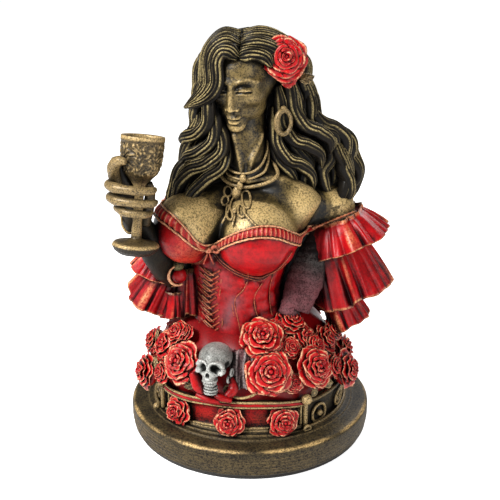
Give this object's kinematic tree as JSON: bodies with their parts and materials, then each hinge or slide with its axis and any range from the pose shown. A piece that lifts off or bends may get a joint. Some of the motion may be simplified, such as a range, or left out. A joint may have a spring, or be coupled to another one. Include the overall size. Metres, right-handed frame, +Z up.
{
  "type": "resin pomba gira bust",
  "caption": "Cast resin bust of a long-haired woman in a laced corset, raising a goblet above a ring of roses and a small skull on a round plinth.",
  "frame": {"origin": "centre of the plinth's flat underside", "axes": "+Z up from the plinth to the crown, -Y towards the front of the base"},
  "size_m": [0.171, 0.1647, 0.2604],
  "materials": {
    "aged_gold_resin": "cast resin, black wash under rubbed antique gold"
  },
  "bodies": {
    "root": {"bust": "aged_gold_resin"}
  },
  "joints": []
}
